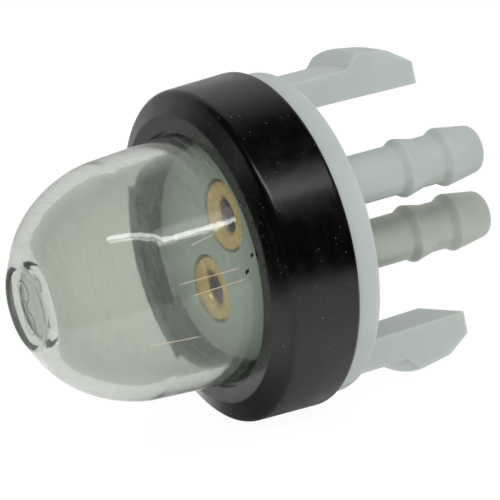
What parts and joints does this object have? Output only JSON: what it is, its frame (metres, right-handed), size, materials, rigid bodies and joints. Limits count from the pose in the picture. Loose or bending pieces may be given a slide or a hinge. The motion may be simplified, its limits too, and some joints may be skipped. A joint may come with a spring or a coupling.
{
  "type": "primer bulb",
  "caption": "Snap-in primer bulb for a small engine: clear bulb clamped by a black metal ring on a moulded base with barbed hose nipples and snap legs.",
  "frame": {"origin": "centre of the flat rear face of the base, which seats on the front of the panel", "axes": "+Y along the axis, out of the seat towards the nipples and snap legs, with the bulb at -Y; +Z through the middle of the upper snap leg, on the side of the short nipple"},
  "size_m": [0.029, 0.0452, 0.029],
  "materials": {
    "base_nylon": "natural translucent nylon, satin from the mould",
    "ring_metal": "black anodised, satin, with fine handling specks",
    "bulb_clear": "clear flexible polyurethane with a faint green-grey tint, glossy, lightly scratched",
    "ferrule_brass": "plain turned brass",
    "valve_rubber": "black fuel-resistant rubber, matt"
  },
  "bodies": {
    "root": {"base": "base_nylon", "retaining_ring": "ring_metal", "bulb": "bulb_clear", "inlet_ferrule": "ferrule_brass", "outlet_ferrule": "ferrule_brass", "inlet_valve": "valve_rubber", "outlet_valve": "valve_rubber"}
  },
  "joints": []
}
